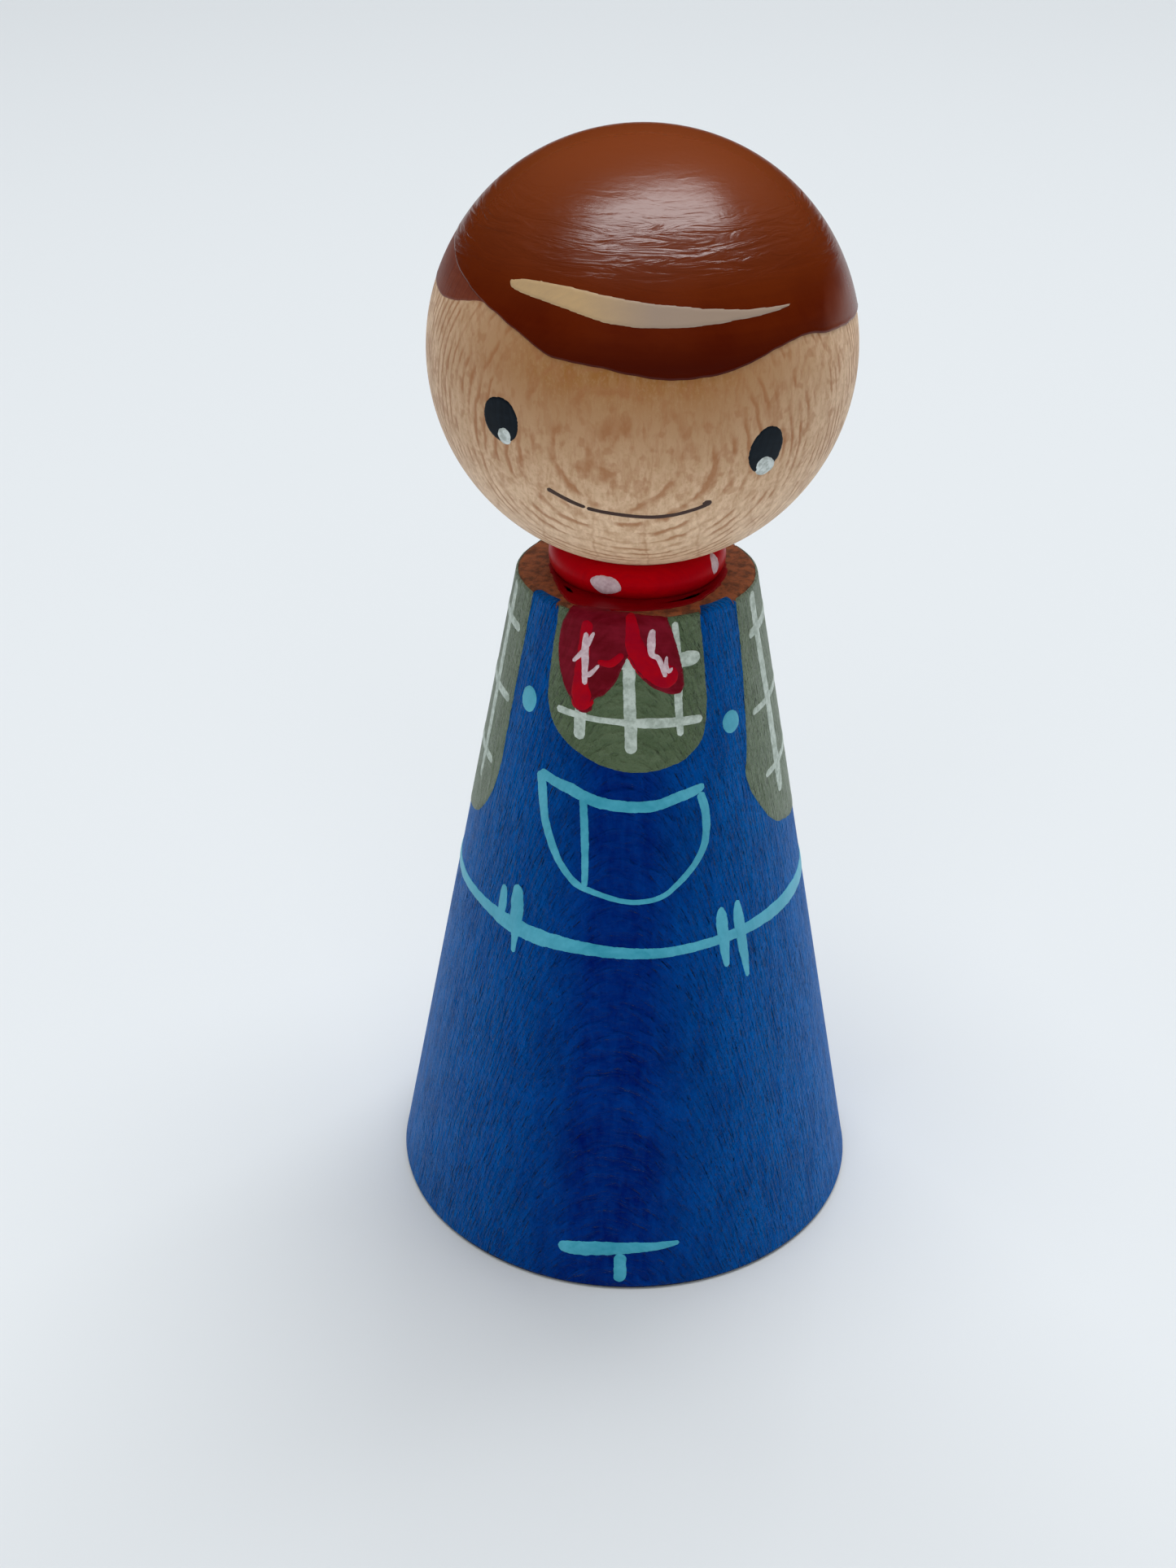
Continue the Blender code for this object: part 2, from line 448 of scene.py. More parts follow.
class Recipe:
    """A node material in the making; lengths in its textures are millimetres on the doll."""

    def __init__(self, name, roughness, specular=0.5):
        self.material = bpy.data.materials.new(name)
        self.material.use_nodes = True
        self.tree = self.material.node_tree
        self.shader = self.tree.nodes["Principled BSDF"]
        self.shader.inputs["Roughness"].default_value = roughness
        self.shader.inputs["Specular IOR Level"].default_value = specular
        coords = self.tree.nodes.new("ShaderNodeTexCoord")
        self.place = self.vector_math("SCALE", coords.outputs["Object"], scale=1 / MM)

    def link(self, source, socket):
        if isinstance(source, bpy.types.NodeSocket):
            self.tree.links.new(source, socket)
        else:
            socket.default_value = source

    def vector_math(self, operation, a, b=None, scale=None):
        node = self.tree.nodes.new("ShaderNodeVectorMath")
        node.operation = operation
        self.link(a, node.inputs[0])
        if b is not None:
            self.link(b, node.inputs[1])
        if scale is not None:
            node.inputs["Scale"].default_value = scale
        return node.outputs["Value" if operation == "DOT_PRODUCT" else "Vector"]

    def math(self, operation, a, b=0.0, clamp=False):
        node = self.tree.nodes.new("ShaderNodeMath")
        node.operation = operation
        node.use_clamp = clamp
        self.link(a, node.inputs[0])
        self.link(b, node.inputs[1])
        return node.outputs[0]

    def times(self, a, b):
        return self.math("MULTIPLY", a, b)

    def plus(self, a, b):
        return self.math("ADD", a, b)

    def along(self, direction):
        """Millimetres along a direction."""
        return self.vector_math("DOT_PRODUCT", self.place, direction)

    def past(self, value, edge, rate):
        """0 up to an edge, then rising at a rate until it is 1."""
        return self.math("MULTIPLY", self.math("SUBTRACT", value, edge), rate, clamp=True)

    def short_of(self, value, edge, rate):
        """0 from an edge on, and before it rising at a rate until it is 1."""
        return self.math("MULTIPLY", self.math("SUBTRACT", edge, value), rate, clamp=True)

    def noise(self, per_mm, detail=3.0, roughness=0.5, warp=0.0):
        """Noise whose features repeat per_mm (x, y, z) times a millimetre."""
        stretched = self.vector_math("MULTIPLY", self.place, per_mm)
        node = self.tree.nodes.new("ShaderNodeTexNoise")
        self.link(stretched, node.inputs["Vector"])
        node.inputs["Scale"].default_value = 1.0
        node.inputs["Detail"].default_value = detail
        node.inputs["Roughness"].default_value = roughness
        node.inputs["Distortion"].default_value = warp
        return node.outputs["Fac"]

    def ramp(self, value, *stops):
        """A curve from (position, brightness) stops."""
        node = self.tree.nodes.new("ShaderNodeValToRGB")
        elements = node.color_ramp.elements
        elements[0].position = stops[0][0]
        elements[1].position = stops[-1][0]
        ordered = [elements[0], *(elements.new(at) for at, _ in stops[1:-1]), elements[len(stops) - 1]]
        for at, level in stops:
            element = min(ordered, key=lambda e: abs(e.position - at))
            element.color = (level, level, level, 1.0)
        self.link(value, node.inputs["Fac"])
        return node.outputs["Color"]

    def mix(self, share, a, b):
        node = self.tree.nodes.new("ShaderNodeMix")
        node.data_type = "RGBA"
        self.link(share, node.inputs[0])
        for value, socket in ((a, node.inputs[6]), (b, node.inputs[7])):
            self.link((*value, 1.0) if isinstance(value, tuple) else value, socket)
        return node.outputs[2]

    def colour(self, value):
        self.link((*value, 1.0) if isinstance(value, tuple) else value, self.shader.inputs["Base Color"])

    def bump(self, height, depth, below=None):
        """Relief depth millimetres deep from a 0 to 1 height, over any earlier relief."""
        node = self.tree.nodes.new("ShaderNodeBump")
        node.inputs["Strength"].default_value = 1.0
        node.inputs["Distance"].default_value = depth * MM
        self.link(height, node.inputs["Height"])
        if below is not None:
            self.link(below, node.inputs["Normal"])
        self.link(node.outputs["Normal"], self.shader.inputs["Normal"])
        return node.outputs["Normal"]


def beech(name, layers_face, pale, ring_tone, fleck_tone, ground=None, finish=None):
    """Turned beech with upright fibres; layers_face is the direction that its growth layers face."""
    r = Recipe(name, 0.5, 0.2)
    depth = r.plus(r.along(layers_face), r.times(r.noise((0.1, 0.1, 0.08), detail=1.0), 1.2))
    depth = r.plus(depth, r.times(r.noise((0.9, 0.9, 0.6)), 0.42))
    phase = r.math("FRACT", r.times(depth, 1.75))
    rings = r.ramp(phase, (0.0, 0.3), (0.07, 0.0), (0.55, 0.0), (0.8, 1.0), (0.93, 1.0), (1.0, 0.3))
    rings = r.times(rings, r.ramp(r.noise((0.42, 0.42, 0.36)), (0.44, 0.08), (0.56, 1.0)))
    across = r.plus(r.times(r.along(RIGHT), 0.27), r.times(r.noise((0.4, 0.4, 0.4)), 0.35))
    medulla = r.ramp(r.math("FRACT", across), (0.0, 0.0), (0.46, 0.0), (0.5, 1.0), (0.54, 0.0), (1.0, 0.0))
    flecks = r.ramp(r.noise((3.0, 1.2, 0.7), detail=2.0, roughness=0.6), (0.5, 0.0), (0.62, 1.0))
    smears = r.ramp(r.noise((1.6, 1.6, 0.35), detail=2.0), (0.42, 0.0), (0.6, 1.0))
    specks = r.ramp(r.noise((4.5, 4.5, 3.2), detail=2.0, roughness=0.6), (0.5, 0.0), (0.66, 1.0))
    blots = r.ramp(r.noise((1.1, 1.1, 0.9), detail=2.0), (0.55, 0.0), (0.64, 1.0))
    calm = r.past(r.along(UP), HEAD_CENTRE - 11.0, 0.16)
    pores = r.noise((6.0, 6.0, 1.6), roughness=0.65)
    colour = pale if ground is None else ground(r, pale)
    colour = r.mix(r.times(smears, 0.32), colour, fleck_tone)
    marks = (specks, 0.26, 0.14, fleck_tone), (flecks, 0.16, 0.12, ring_tone), (blots, 0.36, 0.08, ring_tone)
    for mark, when_calm, always, tone in marks:
        colour = r.mix(r.times(mark, r.plus(r.times(calm, when_calm), always)), colour, tone)
    rays = r.times(medulla, r.math("SUBTRACT", 0.4, r.times(calm, 0.4)))
    colour = r.mix(rays, colour, ring_tone)
    colour = r.mix(r.times(rings, 0.78), colour, ring_tone)
    r.colour(colour if finish is None else finish(r, colour))
    r.bump(flecks, -0.012, r.bump(pores, 0.02))
    return r.material


def warm_and_shaded_face(r, pale):
    """The face is darker and warmer in front, and more so towards the fringe: partly the wood's warmer tone,
    partly painted shade.
    """
    low, high = HEAD_CENTRE - 8.4, HEAD_CENTRE + 2.6
    rise = r.past(r.along(UP), low, 1 / (high - low))
    front = r.past(r.along(FRONT), 5.0, 0.1)
    return r.mix(r.times(rise, front), pale, (0.37, 0.153, 0.037))


def dark_top_and_foot(r, colour):
    """Dark brown over the shoulder's top, and very dark blue just round the edge of the base: partly blue
    paint, partly painted shade where the base meets the floor.
    """
    height = r.along(UP)
    level = r.vector_math("MULTIPLY", r.place, (1.0, 1.0, 0.0))
    out = r.math("SQRT", r.vector_math("DOT_PRODUCT", level, level))
    foot = r.times(r.short_of(height, 0.6, 5.0), r.past(out, 19.0, 4.0))
    colour = r.mix(foot, colour, (0.001, 0.006, 0.03))
    patches = r.ramp(r.noise((1.3, 1.3, 1.3), detail=4.0, roughness=0.7), (0.42, 0.0), (0.6, 1.0))
    shoulder_brown = r.mix(patches, (0.33, 0.105, 0.042), (0.13, 0.05, 0.026))
    return r.mix(r.past(height, BODY_HEIGHT - 1.2, 3.0), colour, shoulder_brown)


def acrylic(name, tone, shade, roughness=0.42, specular=0.3, tint=(1.0, 1.0, 1.0), ripple=0.03, pebble=0.02,
            streaks=(0.25, 0.25, 2.4), shaded=0.6, sheen=0.0, blends=None, finish=None):
    """Brushed acrylic over wood: two close tones, and the grain and the brush telling through."""
    r = Recipe(name, roughness, specular)
    r.shader.inputs["Specular Tint"].default_value = (*tint, 1.0)
    r.shader.inputs["Sheen Weight"].default_value = sheen
    r.shader.inputs["Sheen Roughness"].default_value = 0.2
    grain = r.noise((0.5, 6.5, 0.45), detail=2.0, warp=0.55)
    bumps = r.noise((2.2, 2.2, 1.7), roughness=0.55)
    brush = r.noise(streaks, detail=4.0, roughness=0.6, warp=0.3)
    cloud = r.noise((0.22, 0.22, 0.2))
    share = r.plus(r.times(grain, 0.5 * shaded), r.times(brush, 0.25))
    share = r.plus(share, r.times(bumps, 0.3 * shaded))
    share = r.plus(share, r.times(cloud, 0.75 - 0.8 * shaded))
    colour = r.mix(r.ramp(share, (0.4, 0.0), (0.6, 1.0)), tone, shade)
    r.colour(colour if blends is None else blends(r, colour))
    relief = r.bump(bumps, pebble, r.bump(grain, ripple))
    if finish is not None:
        finish(r, relief)
    return r.material


def painted_side_light(tone, start=0.14):
    """Painted side light and sheen: blend in a paler tone towards the sides in upright streaks, and less of
    it over the back.
    """

    def blend(r, colour):
        across = r.math("ABSOLUTE", r.along(RIGHT))
        behind = r.along(BACK)
        side = r.math("DIVIDE", across, r.plus(across, r.math("ABSOLUTE", behind)))
        share = r.math("MINIMUM", r.past(side, start, 1.2), 0.75)
        share = r.math("MAXIMUM", share, r.times(r.past(behind, 0.0, 0.1), 0.35))
        streak = r.ramp(r.noise((1.1, 1.1, 0.08)), (0.36, 0.7), (0.6, 1.0))
        return r.mix(r.times(share, streak), colour, tone)

    return blend


def parting_tones(r, colour):
    """Warm tan on the left, thinning to a greyer tan on the right."""
    return r.mix(r.past(r.along(RIGHT), -3.5, 0.2), colour, (0.41, 0.30, 0.225))


def hair_tones_and_shade(r, colour):
    """The coat is darker at the fringe in front and redder and paler on top, which is painted shade and
    painted light from above; it is also thin above the ears.
    """
    height = r.along(UP)
    front = r.short_of(r.along(BACK), 4.0, 0.15)
    # Paler and redder on top: painted light from above and sheen.
    rise = r.past(height, HEAD_CENTRE + 6.0, 0.12)
    colour = r.mix(r.times(rise, 0.9), colour, (0.25, 0.05, 0.009))
    # Darker towards the fringe in front: painted shade.
    low = r.times(r.short_of(height, HEAD_CENTRE + 5.5, 0.5), front)
    colour = r.mix(r.times(low, 0.85), colour, (0.062, 0.004, 0.0003))
    across = r.plus(r.math("ABSOLUTE", r.along(RIGHT)), r.times(r.noise((0.6, 0.6, 0.6)), 1.2))
    side = r.past(across, 13.3, 0.7)
    below = r.short_of(height, HEAD_CENTRE + 8.5, 0.35)
    thin = r.times(r.times(side, below), r.times(front, 0.8))
    return r.mix(thin, colour, (0.21, 0.05, 0.024))


HAIR_GLOSS = 0.95
HAIR_DULL = 0.15


def hair_gloss(r, relief):
    """Brush ridges on the upper hair, fainter at the crown, and a gloss that fades downwards and sideways."""
    height = r.along(UP)
    crown = r.short_of(height, HEAD_CENTRE + 13.4, 0.5)
    upper = r.times(r.past(height, HEAD_CENTRE + 7.0, 0.4), r.plus(r.times(crown, 0.75), 0.25))
    ridges = r.noise((0.22, 0.22, 1.6), roughness=0.55, warp=0.9)
    r.bump(r.times(ridges, upper), 0.16, relief)
    across = r.math("ABSOLUTE", r.along(RIGHT))
    shine = r.times(r.past(height, HEAD_CENTRE + 8.0, 0.5), r.short_of(across, 13.0, 0.3))
    shine = r.plus(r.times(shine, HAIR_GLOSS - HAIR_DULL), HAIR_DULL)
    r.link(shine, r.shader.inputs["Specular IOR Level"])


def streaky(name, dense, thin, per_mm):
    """Thin light paint that lets the ground tone through where the brush ran dry."""
    r = Recipe(name, 0.5, 0.25)
    brush = r.noise((per_mm, per_mm, per_mm), roughness=0.6)
    fine = r.noise((4.0, 4.0, 4.0), detail=2.0)
    share = r.ramp(r.plus(r.times(brush, 0.7), r.times(fine, 0.3)), (0.38, 0.0), (0.6, 1.0))
    r.colour(r.mix(share, thin, dense))
    r.bump(fine, 0.012, r.bump(brush, 0.02))
    return r.material


RED_TINT = (1.0, 0.2, 0.3)

wood_head = beech("beech_head", (-0.02, -0.98, -0.17), (0.88, 0.63, 0.42), (0.40, 0.165, 0.062),
                  (0.50, 0.29, 0.14), ground=warm_and_shaded_face)
wood_body = beech("beech_body", FRONT, (0.64, 0.44, 0.28), (0.46, 0.26, 0.14), (0.36, 0.19, 0.1),
                  finish=dark_top_and_foot)
wood_dowel = beech("beech_dowel", (0.7, 0.7, 0.0), (0.70, 0.53, 0.36), (0.56, 0.38, 0.23), (0.45, 0.28, 0.15))
# The blue, green and teal are paler towards the sides: painted side light and sheen.
blue = acrylic("acrylic_blue", (0.0, 0.009, 0.135), (0.0, 0.036, 0.25), specular=0.07, tint=(0.0, 0.3, 0.9),
               ripple=0.75, pebble=0.25, streaks=(1.3, 1.3, 0.12), shaded=0.5, sheen=0.06,
               blends=painted_side_light((0.0, 0.24, 0.80)))
green = acrylic("acrylic_green", (0.090, 0.133, 0.068), (0.132, 0.180, 0.100), roughness=0.45,
                tint=(0.3, 0.45, 0.3), ripple=0.5, pebble=0.32, shaded=0.8, sheen=0.15,
                blends=painted_side_light((0.36, 0.43, 0.34), 0.3))
teal = acrylic("acrylic_teal", (0.035, 0.32, 0.45), (0.09, 0.47, 0.62), roughness=0.5, specular=0.25,
               tint=(0.5, 1.0, 1.0), ripple=0.02, pebble=0.015, streaks=(1.0, 1.0, 1.6), shaded=0.4,
               sheen=0.06, blends=painted_side_light((0.20, 0.60, 0.78)))
crimson = acrylic("acrylic_crimson", (0.135, 0.001, 0.005), (0.225, 0.007, 0.02), roughness=0.36,
                  tint=RED_TINT, ripple=0.02, pebble=0.015)
scarlet = acrylic("acrylic_scarlet", (0.50, 0.0, 0.008), (0.36, 0.0, 0.014), roughness=0.34,
                  tint=(1.0, 0.15, 0.2), ripple=0.01, pebble=0.012)
collar_red = acrylic("acrylic_collar", (0.58, 0.0, 0.005), (0.48, 0.0, 0.006), roughness=0.36, specular=0.09,
                     tint=RED_TINT, ripple=0.0, pebble=0.01)
# The collar's red spilt on the shoulder, made darker: painted shade under the head.
shaded_pool_red = acrylic("acrylic_pool_shaded", (0.30, 0.0, 0.004), (0.20, 0.001, 0.004), roughness=0.36, tint=RED_TINT,
                   ripple=0.0)
check_white = streaky("acrylic_check", (0.66, 0.75, 0.68), (0.40, 0.48, 0.41), 1.6)
dab_white = streaky("acrylic_dab", (0.84, 0.68, 0.72), (0.62, 0.42, 0.47), 1.5)
hair_brown = acrylic("acrylic_hair", (0.125, 0.013, 0.0006), (0.098, 0.008, 0.0004), roughness=0.27,
                     specular=HAIR_GLOSS, ripple=0.0, pebble=0.012, streaks=(0.22, 0.22, 2.6), shaded=0.2,
                     blends=hair_tones_and_shade, finish=hair_gloss)
hair_thin = acrylic("acrylic_hair_thin", (0.22, 0.048, 0.020), (0.16, 0.03, 0.014), specular=0.2,
                    ripple=0.02)
parting_tan = acrylic("acrylic_parting", (0.60, 0.40, 0.20), (0.54, 0.36, 0.19), roughness=0.4, ripple=0.0,
                      blends=parting_tones)
eye_black = acrylic("acrylic_eye", (0.002, 0.005, 0.009), (0.006, 0.012, 0.019), roughness=0.45,
                    specular=0.1, ripple=0.0, pebble=0.015)
eye_white = streaky("acrylic_eye_white", (0.74, 0.80, 0.78), (0.45, 0.50, 0.47), 2.0)
ink = acrylic("pen_ink", (0.05, 0.026, 0.02), (0.08, 0.045, 0.035), roughness=0.6, specular=0.2, ripple=0.0,
              pebble=0.004)


# ---------------- turned wood


def make_body():
    """The bare turned cone, with its dowel hole."""
    base_inset = BASE_ROUND / math.tan(math.radians(45) - SLOPE / 2)
    rise = np.linspace(BODY_HEIGHT - BASE_ROUND, 2.0, 24)
    floor_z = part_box("neck_dowel")[0].z / MM - 0.6
    profile = [(0.0, floor_z - 1.2), (HOLE_RADIUS, floor_z), (HOLE_RADIUS, BODY_HEIGHT - 0.3)]
    profile += [(r, BODY_HEIGHT) for r in np.linspace(HOLE_RADIUS + 0.3, body_surface.centre_r, 6)]
    slope = math.degrees(SLOPE)
    profile += arc(body_surface.centre_r, body_surface.centre_z, SHOULDER_ROUND, 90, slope, 9)[1:]
    profile += [tuple(float(x) for x in body_surface.section(v)[:2]) for v in rise[1:]]
    profile += arc(BASE_CORNER - base_inset, BASE_ROUND, BASE_ROUND, slope, -90, 9)
    profile += [(r, 0.0) for r in (15.0, 10.0, 5.0)]
    profile.append((0.0, 0.0))
    verts, faces = turned(profile, 256)
    piece = add_piece("body_turned", verts, faces, wood_body)
    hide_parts("body_cone")


def make_head():
    """The bare turned ball, with its dowel hole."""
    mouth = HOLE_RADIUS + 0.3
    mouth_angle = -math.degrees(math.acos(mouth / HEAD_RADIUS))
    top_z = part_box("neck_dowel")[1].z / MM + 0.6
    r, z = ball_surface.section(np.linspace(90, mouth_angle, 97))[:2]
    profile = [(0.0, z[0]), *zip(r[1:].tolist(), z[1:].tolist())]
    profile += [(HOLE_RADIUS, profile[-1][1] + 0.3), (HOLE_RADIUS, top_z), (0.0, top_z + 1.2)]
    verts, faces = turned(profile, 224)
    piece = add_piece("head_turned", verts, faces, wood_head)
    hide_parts("head_ball")


def make_collar():
    """The painted collar: its bead, the seat against the ball and a foot that the paint closes."""
    s = collar_surface
    centre_r = COLLAR_RADIUS - s.section_radius
    foot = -math.degrees(math.asin(min(1.0, s.height / s.section_radius)))
    profile = [(HOLE_RADIUS, BODY_HEIGHT + 0.02)]
    seat = [-math.degrees(math.acos(x / (HEAD_RADIUS + 0.03))) for x in (HOLE_RADIUS, centre_r + 0.5)]
    profile += arc(0.0, HEAD_CENTRE, HEAD_RADIUS + 0.03, seat[0], seat[1], 10)
    profile += arc(centre_r, BODY_HEIGHT + s.height, s.section_radius, 62, foot, 25)
    steps = 192
    verts, faces = rings_of(profile, steps), []
    n = len(profile)
    for k in range(n):
        for i in range(steps):
            j = (i + 1) % steps
            a, b = k * steps, (k + 1) % n * steps
            faces.append((a + i, a + j, b + j, b + i))
    piece = add_piece("neck_collar_painted", verts, faces, collar_red)
    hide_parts("neck_collar")


make_body()
make_head()
make_collar()
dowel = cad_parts["neck_dowel"]
dowel.data.materials.clear()
dowel.data.materials.append(wood_dowel)


# ---------------- clothes

RIM = body_surface.flat_v
blue_low = round_line([(a, 0.28 + 0.1 * wobble(a * 0.05, 3.0)) for a in range(-180, 180, 12)])


def blue_high(u):
    """The blue stops on the shoulder's rounding, except that the strap ends run on over the top."""
    tops = ((-45.3, 8.6), (44.8, 9.8), (135.5, 9.5), (-134.5, 9.5))
    nearest = min(abs((u - at + 180) % 360 - 180) / half for at, half in tops)
    strap = min(1.0, max(0.0, (1.08 - nearest) / 0.16))
    return body_surface.arc_v + 0.12 + strap * (0.78 + 0.08 * wobble(u * 0.15, 9.0))


band("dungarees_blue", body_surface, blue_low, blue_high, blue, 0.0, BLUE_COAT)

SHIRT_LIFT = BLUE_COAT
CHECK_LIFT = SHIRT_LIFT + SHIRT_COAT
SCARF_LIFT = CHECK_LIFT + 0.01
TEAL_LIFT = BLUE_COAT


def shirt(name, side, middle, seed):
    """One green panel of the shirt, over the blue; its top edge runs back along the shoulder by middle."""
    runs = [side, [side[-1], (middle, RIM_IN), side[0]]]
    patch(name, body_surface, runs, green, SHIRT_LIFT, SHIRT_COAT, seed, 0.06)


RIM_IN = body_surface.arc_v + 0.3
front = [(-35.2, RIM_IN), (-35.5, 52.0), (-34.5, 49.4), (-30, 47.6), (-22, 46.3), (-9, 45.2), (3, 44.8),
         (14, 45.0), (24, 45.7), (31, 47.0), (34, 49.2), (34.3, 52.0), (34, RIM_IN)]
shirt("shirt_front", front, 0, 1.0)
right = [(56.5, RIM_IN), (55.3, 51.5), (52.8, 45.5), (50.5, 42.9), (54, 40.7), (63, 38.0), (73, 36.8),
         (90, 36.0), (108, 37.0), (122, 40.0), (128, 45.0), (127, 51.5), (125, RIM_IN)]
shirt("shirt_right", right, 90, 2.0)
left = [(-53.8, RIM_IN), (-54.4, 51.5), (-55.7, 45.0), (-55.9, 42.6), (-58.5, 39.9), (-64, 37.8), (-72, 36.4),
        (-90, 35.6), (-108, 36.8), (-121, 40.2), (-127, 45.0), (-126, 51.5), (-124, RIM_IN)]
shirt("shirt_left", left[::-1], -90, 3.0)
back = [(146, RIM_IN), (145.5, 52.0), (148, 48.4), (158, 45.6), (170, 44.6), (180, 44.4), (190, 44.7),
        (202, 45.8), (212, 48.6), (214.5, 52.0), (214, RIM_IN)]
shirt("shirt_back", back, 180, 4.0)


def check_line(name, path, seed):
    """One pale line of the plaid."""
    stroke(name, body_surface, path, check_white, CHECK_LIFT, CHECK_COAT, seed, 0.12)


CHECK_LINES = {
    "check_front_low": [(-29.5, 49.0, 0.6), (-15, 48.8, 0.5), (-4, 48.75, 0.5), (8, 48.7, 0.8),
        (18, 48.65, 0.8), (31.5, 48.6, 0.6)],
    "check_front_high": [(-4, 53.2, 0.9), (8, 53.2, 0.9), (20, 53.3, 1.0), (27, 53.4, 1.2),
        (32, 53.3, 0.9)],
    "check_front_left": [(-18.9, 50.5, 0.9), (-18.7, 48.5, 0.95), (-18.2, 47.0, 1.0)],
    "check_front_middle": [(0.5, 53.6, 0.95), (1.0, 51.0, 0.95), (1.9, 48.5, 0.95), (2.3, 46.3, 0.9)],
    "check_front_right": [(20.8, 56.3, 0.5), (21.6, 53.0, 0.7), (21.4, 50.0, 0.66), (21.8, 47.5, 0.5)],
    "check_right_upright": [(70.5, 56.4, 1.0), (71.5, 52.5, 1.0), (73, 46.0, 1.1), (73.3, 41.0, 1.2),
        (73.2, 39.4, 0.9)],
    "check_left_upright": [(-72.6, 56.4, 0.9), (-73, 50.0, 0.95), (-72.4, 43.5, 0.85), (-72.8, 39.5, 0.5)],
}
for seed, (name, path) in enumerate(CHECK_LINES.items(), 11):
    check_line(name, path, seed)
for k, (height, reach) in enumerate(((53.4, 63.0), (47.4, 58.5), (41.8, 62.5))):
    thin = 0.75 if k == 0 else 0.55
    check_line(f"check_right_level_{k}", [(reach, height, thin), (90, height + 0.2, thin),
                                          (119, height, thin)], 20 + k)
for k, (height, reach) in enumerate(((53.4, 59.0), (47.7, 57.8), (41.9, 63.0))):
    check_line(f"check_left_level_{k}", [(-119, height, 0.7), (-90, height + 0.2, 0.75),
                                         (-reach, height, 0.7)], 30 + k)
for side in (-1, 1):
    check_line(f"check_far_upright_{side + 1}", [(side * 107, 56.4, 0.9), (side * 108, 39.8, 0.8)], 40 + side)
for k, height in enumerate((53.3, 48.4)):
    check_line(f"check_back_level_{k}", [(152, height, 0.7), (180, height - 0.1, 0.8), (208, height, 0.7)],
               50 + k)
for k, angle in enumerate((162, 180, 198)):
    check_line(f"check_back_upright_{k}", [(angle, 56.2, 0.8), (angle, 46.6, 0.9)], 60 + k)


def teal_stroke(name, path, seed, over=0.0):
    """One teal stroke; over lifts it clear of the strokes that it crosses."""
    stroke(name, body_surface, path, teal, TEAL_LIFT + over, TEAL_COAT, seed, 0.12)


def dot(name, surface, u, v, width, height, material, lift, thick, seed, ragged=0.04, lean=0.0):
    """A round or oval dab of paint."""
    r = float(surface.section(v)[0])
    ring = []
    for k in range(16):
        a = math.tau * k / 16
        x, y = width / 2 * math.cos(a), height / 2 * math.sin(a)
        x, y = x * math.cos(lean) - y * math.sin(lean), x * math.sin(lean) + y * math.cos(lean)
        ring.append((u + math.degrees(x / r), v + y / surface.v_mm))
    patch(name, surface, [ring + ring[:1]], material, lift, thick, seed, ragged, 0.4)


dot("button_left", body_surface, -44.8, 48.75, 1.7, 2.1, teal, TEAL_LIFT, TEAL_COAT, 5.0)
dot("button_right", body_surface, 45.4, 47.6, 1.75, 1.85, teal, TEAL_LIFT, TEAL_COAT, 6.0)

belt = [(-181, 30.6, 1.0), (-140, 30.5, 1.1), (-90, 30.6, 1.0), (-57, 30.6, 0.95), (-40, 30.3, 1.4),
        (-27, 30.2, 1.4), (-12, 30.2, 1.1), (3, 30.1, 0.95), (16, 30.1, 0.85), (30, 30.3, 0.85),
        (41, 30.4, 0.95), (53, 30.5, 1.15), (66, 30.6, 1.35), (80, 30.6, 1.3), (120, 30.5, 1.1),
        (181, 30.6, 1.0)]
TEAL_STROKES = [
    ("pocket_top", 0.0, [(-33.8, 43.6, 0.8), (-26.5, 43.2, 0.9), (-19.5, 42.9, 1.0), (-9.5, 42.3, 0.95),
        (3, 42.1, 0.9), (11.8, 42.2, 0.9), (20.5, 42.7, 0.9), (28, 43.1, 0.75), (30.5, 43.4, 0.5)]),
    ("pocket_round", 0.008, [(-33.4, 43.7, 0.9), (-31.4, 41.9, 0.85), (-29.2, 40.0, 0.78),
        (-26.0, 38.4, 0.74), (-21.5, 36.8, 0.66), (-15.6, 35.5, 0.6), (-9.5, 35.0, 0.5), (3, 34.4, 0.42),
        (13, 34.7, 0.42), (19.3, 35.7, 0.5), (25.5, 37.1, 0.56), (29.3, 38.5, 0.64), (30.6, 40.0, 0.7),
        (30.5, 41.3, 0.72), (28.8, 42.8, 0.7)]),
    ("pocket_inner", 0.016, [(-15, 42.5, 0.6), (-13.6, 40.0, 0.66), (-12.7, 37.7, 0.62),
        (-12.2, 35.3, 0.5)]),
    ("belt_line", 0.0, belt),
    ("loop_left_outer", 0.01, [(-43.0, 33.2, 0.45), (-42.9, 32.2, 0.85), (-42.9, 31.0, 0.85),
        (-42.6, 29.8, 0.5)]),
    ("loop_left_inner", 0.014, [(-37, 33.8, 0.8), (-36.6, 32.5, 1.3), (-36.1, 30.6, 1.25),
        (-35.9, 29.4, 0.7), (-35.7, 28.0, 0.4)]),
    ("loop_right_inner", 0.01, [(34.2, 33.0, 0.4), (34.3, 32.0, 1.05), (34.6, 30.6, 1.05),
        (34.9, 28.9, 0.8), (35.2, 27.8, 0.4)]),
    ("loop_right_outer", 0.014, [(40.7, 33.1, 0.4), (40.8, 32.0, 0.95), (41.2, 30.4, 1.0),
        (41.9, 28.6, 0.85), (42.6, 26.3, 0.35)]),
]
for seed, (name, over, path) in enumerate(TEAL_STROKES, 70):
    teal_stroke(name, path, seed, over)
for k, angle in enumerate((141.0, 148.0, 212.0, 219.0)):
    teal_stroke(f"loop_back_{k}", [(angle, 33.6, 0.5), (angle + 0.3, 31.6, 1.05), (angle + 0.4, 28.4, 0.5)],
                78 + k, 0.01)
